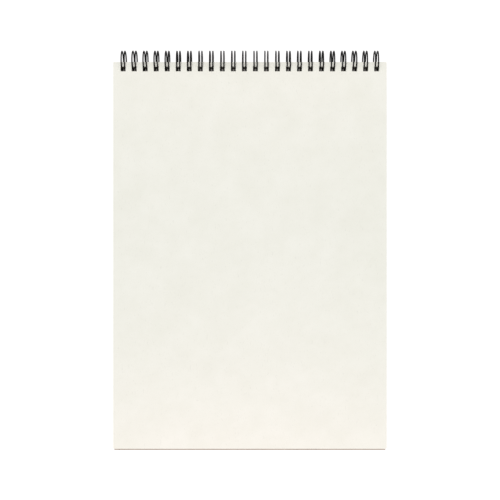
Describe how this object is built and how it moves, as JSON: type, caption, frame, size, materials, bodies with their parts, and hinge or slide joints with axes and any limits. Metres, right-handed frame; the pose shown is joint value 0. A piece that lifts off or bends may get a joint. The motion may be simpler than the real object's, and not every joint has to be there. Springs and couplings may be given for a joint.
{
  "type": "sketchbook",
  "caption": "Closed A4 sketchbook, portrait: plain cream cover and drawing sheets on a stiff grey board, punched with square holes along the top edge and bound with black twin-loop wire.",
  "frame": {"origin": "on the table under the middle of the closed book, below the lowest point of the loops", "axes": "+X across the page to the right, +Y up the page towards the wire, +Z out of the front cover, away from the table"},
  "size_m": [0.2102, 0.3086, 0.016],
  "materials": {
    "cover_card": "plain cream uncoated card, matte with a fine felt grain",
    "drawing_paper": "thick cream uncoated cartridge paper, matte",
    "board_grey": "unlined grey-brown chipboard with fibre flecks, matte",
    "wire_black": "black nylon coat on steel wire, satin"
  },
  "bodies": {
    "base": {"back_board": "board_grey", "twin_loop_wire": "wire_black"},
    "sheet_20": {"sheet_20": "drawing_paper"},
    "sheet_19": {"sheet_19": "drawing_paper"},
    "sheet_18": {"sheet_18": "drawing_paper"},
    "sheet_17": {"sheet_17": "drawing_paper"},
    "sheet_16": {"sheet_16": "drawing_paper"},
    "sheet_15": {"sheet_15": "drawing_paper"},
    "sheet_14": {"sheet_14": "drawing_paper"},
    "sheet_13": {"sheet_13": "drawing_paper"},
    "sheet_12": {"sheet_12": "drawing_paper"},
    "sheet_11": {"sheet_11": "drawing_paper"},
    "sheet_10": {"sheet_10": "drawing_paper"},
    "sheet_09": {"sheet_09": "drawing_paper"},
    "sheet_08": {"sheet_08": "drawing_paper"},
    "sheet_07": {"sheet_07": "drawing_paper"},
    "sheet_06": {"sheet_06": "drawing_paper"},
    "sheet_05": {"sheet_05": "drawing_paper"},
    "sheet_04": {"sheet_04": "drawing_paper"},
    "sheet_03": {"sheet_03": "drawing_paper"},
    "sheet_02": {"sheet_02": "drawing_paper"},
    "sheet_01": {"sheet_01": "drawing_paper"},
    "front_cover": {"front_cover": "cover_card"}
  },
  "joints": [
    {"name": "sheet_20_turn", "type": "hinge", "parent": "base", "child": "sheet_20", "pos_m": [0, 0.14634, 0.008], "axis": [-1, 0, 0], "range_deg": [0, 180]},
    {"name": "sheet_19_turn", "type": "hinge", "parent": "sheet_20", "child": "sheet_19", "pos_m": [0, 0.14634, 0.008], "axis": [-1, 0, 0], "range_deg": [0, 180]},
    {"name": "sheet_18_turn", "type": "hinge", "parent": "sheet_19", "child": "sheet_18", "pos_m": [0, 0.14634, 0.008], "axis": [-1, 0, 0], "range_deg": [0, 180]},
    {"name": "sheet_17_turn", "type": "hinge", "parent": "sheet_18", "child": "sheet_17", "pos_m": [0, 0.14634, 0.008], "axis": [-1, 0, 0], "range_deg": [0, 180]},
    {"name": "sheet_16_turn", "type": "hinge", "parent": "sheet_17", "child": "sheet_16", "pos_m": [0, 0.14634, 0.008], "axis": [-1, 0, 0], "range_deg": [0, 180]},
    {"name": "sheet_15_turn", "type": "hinge", "parent": "sheet_16", "child": "sheet_15", "pos_m": [0, 0.14634, 0.008], "axis": [-1, 0, 0], "range_deg": [0, 180]},
    {"name": "sheet_14_turn", "type": "hinge", "parent": "sheet_15", "child": "sheet_14", "pos_m": [0, 0.14634, 0.008], "axis": [-1, 0, 0], "range_deg": [0, 180]},
    {"name": "sheet_13_turn", "type": "hinge", "parent": "sheet_14", "child": "sheet_13", "pos_m": [0, 0.14634, 0.008], "axis": [-1, 0, 0], "range_deg": [0, 180]},
    {"name": "sheet_12_turn", "type": "hinge", "parent": "sheet_13", "child": "sheet_12", "pos_m": [0, 0.14634, 0.008], "axis": [-1, 0, 0], "range_deg": [0, 180]},
    {"name": "sheet_11_turn", "type": "hinge", "parent": "sheet_12", "child": "sheet_11", "pos_m": [0, 0.14634, 0.008], "axis": [-1, 0, 0], "range_deg": [0, 180]},
    {"name": "sheet_10_turn", "type": "hinge", "parent": "sheet_11", "child": "sheet_10", "pos_m": [0, 0.14634, 0.008], "axis": [-1, 0, 0], "range_deg": [0, 180]},
    {"name": "sheet_09_turn", "type": "hinge", "parent": "sheet_10", "child": "sheet_09", "pos_m": [0, 0.14634, 0.008], "axis": [-1, 0, 0], "range_deg": [0, 180]},
    {"name": "sheet_08_turn", "type": "hinge", "parent": "sheet_09", "child": "sheet_08", "pos_m": [0, 0.14634, 0.008], "axis": [-1, 0, 0], "range_deg": [0, 180]},
    {"name": "sheet_07_turn", "type": "hinge", "parent": "sheet_08", "child": "sheet_07", "pos_m": [0, 0.14634, 0.008], "axis": [-1, 0, 0], "range_deg": [0, 180]},
    {"name": "sheet_06_turn", "type": "hinge", "parent": "sheet_07", "child": "sheet_06", "pos_m": [0, 0.14634, 0.008], "axis": [-1, 0, 0], "range_deg": [0, 180]},
    {"name": "sheet_05_turn", "type": "hinge", "parent": "sheet_06", "child": "sheet_05", "pos_m": [0, 0.14634, 0.008], "axis": [-1, 0, 0], "range_deg": [0, 180]},
    {"name": "sheet_04_turn", "type": "hinge", "parent": "sheet_05", "child": "sheet_04", "pos_m": [0, 0.14634, 0.008], "axis": [-1, 0, 0], "range_deg": [0, 180]},
    {"name": "sheet_03_turn", "type": "hinge", "parent": "sheet_04", "child": "sheet_03", "pos_m": [0, 0.14634, 0.008], "axis": [-1, 0, 0], "range_deg": [0, 180]},
    {"name": "sheet_02_turn", "type": "hinge", "parent": "sheet_03", "child": "sheet_02", "pos_m": [0, 0.14634, 0.008], "axis": [-1, 0, 0], "range_deg": [0, 180]},
    {"name": "sheet_01_turn", "type": "hinge", "parent": "sheet_02", "child": "sheet_01", "pos_m": [0, 0.14634, 0.008], "axis": [-1, 0, 0], "range_deg": [0, 180]},
    {"name": "front_cover_turn", "type": "hinge", "parent": "sheet_01", "child": "front_cover", "pos_m": [0, 0.14634, 0.008], "axis": [-1, 0, 0], "range_deg": [0, 180]}
  ]
}
